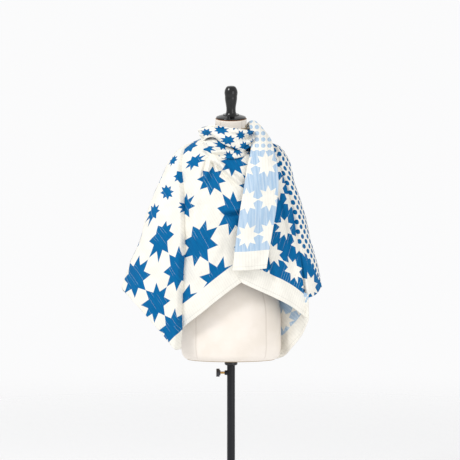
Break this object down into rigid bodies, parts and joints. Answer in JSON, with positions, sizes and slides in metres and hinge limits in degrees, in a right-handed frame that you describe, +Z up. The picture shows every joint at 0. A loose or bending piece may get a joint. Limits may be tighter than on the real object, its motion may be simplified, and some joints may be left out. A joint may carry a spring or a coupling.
{
  "type": "quilt on a dress form stand",
  "caption": "Reversible star-patterned cotton quilt wrapped round a cloth-covered dress form, which slides and swivels on a clamped pole stand with a round base.",
  "frame": {"origin": "on the floor, centre of the round base's underside, on the pole's axis", "axes": "+Z up along the pole, -Y is the front of the dress form, +X is the viewer's right from the front"},
  "size_m": [0.6678, 0.325, 1.5661],
  "materials": {
    "iron_black": "satin black stove enamel",
    "tube_black": "satin blue-black powder coat",
    "collar_black": "moulded, half gloss",
    "zinc_steel": "zinc plated, dull",
    "knob_steel": "blackened, knurled",
    "brass": "turned, slightly dull",
    "nylon": "natural white nylon",
    "felt_grey": "pressed felt",
    "torso_cloth": "plain cream jersey, fine weave",
    "pulp_board": "pressed paper pulp",
    "pale_wood": "plain sanded plywood",
    "lacquer_black": "turned wood, black gloss lacquer",
    "edging_tan": "waxed tan edge",
    "quilt_cotton": "woven cotton, star pattern in blue on off-white, reversible"
  },
  "bodies": {
    "stand": {"base_felt": "felt_grey", "base_plate": "iron_black", "tube_plug": "zinc_steel", "base_washer": "zinc_steel", "base_bolt": "zinc_steel", "base_collar": "tube_black", "stand_tube": "tube_black", "guide_bush": "nylon", "top_collar": "collar_black", "screw_boss": "tube_black"},
    "mast": {"inner_pole": "zinc_steel", "pole_foot_ring": "nylon", "thrust_washer": "nylon"},
    "form": {"torso_shell": "pulp_board", "torso_cover": "torso_cloth", "bottom_board": "pale_wood", "rim_ring": "pale_wood", "board_screws": "zinc_steel", "pole_socket": "zinc_steel", "socket_screws": "zinc_steel", "left_arm_plate": "pale_wood", "right_arm_plate": "pale_wood", "neck_block": "pale_wood", "cap_edging": "edging_tan", "neck_cap": "lacquer_black", "neck_finial": "lacquer_black", "finial_stud": "zinc_steel", "quilt_cape": "quilt_cotton", "quilt_cowl": "quilt_cotton", "quilt_tail": "quilt_cotton"},
    "clamp_slide": {"clamp_pad": "brass"},
    "clamp_screw": {"clamp_stem": "brass", "clamp_knob": "knob_steel"}
  },
  "joints": [
    {"name": "height_slide", "type": "slide", "parent": "stand", "child": "mast", "axis": [0, 0, 1], "range_m": [0, 0.24]},
    {"name": "form_swivel", "type": "hinge", "parent": "mast", "child": "form", "pos_m": [0, 0, 0.69], "axis": [0, 0, 1], "continuous": true},
    {"name": "clamp_travel", "type": "slide", "parent": "stand", "child": "clamp_slide", "axis": [-1, 0, 0], "range_m": [0, 0.00375]},
    {"name": "clamp_turn", "type": "hinge", "parent": "clamp_slide", "child": "clamp_screw", "pos_m": [-0.03, 0, 0.594], "axis": [-1, 0, 0], "range_deg": [0, 1080]}
  ],
  "couplings": [
    {"joint": "clamp_turn", "follows": "clamp_travel", "rad_per_m": 5026.5}
  ]
}
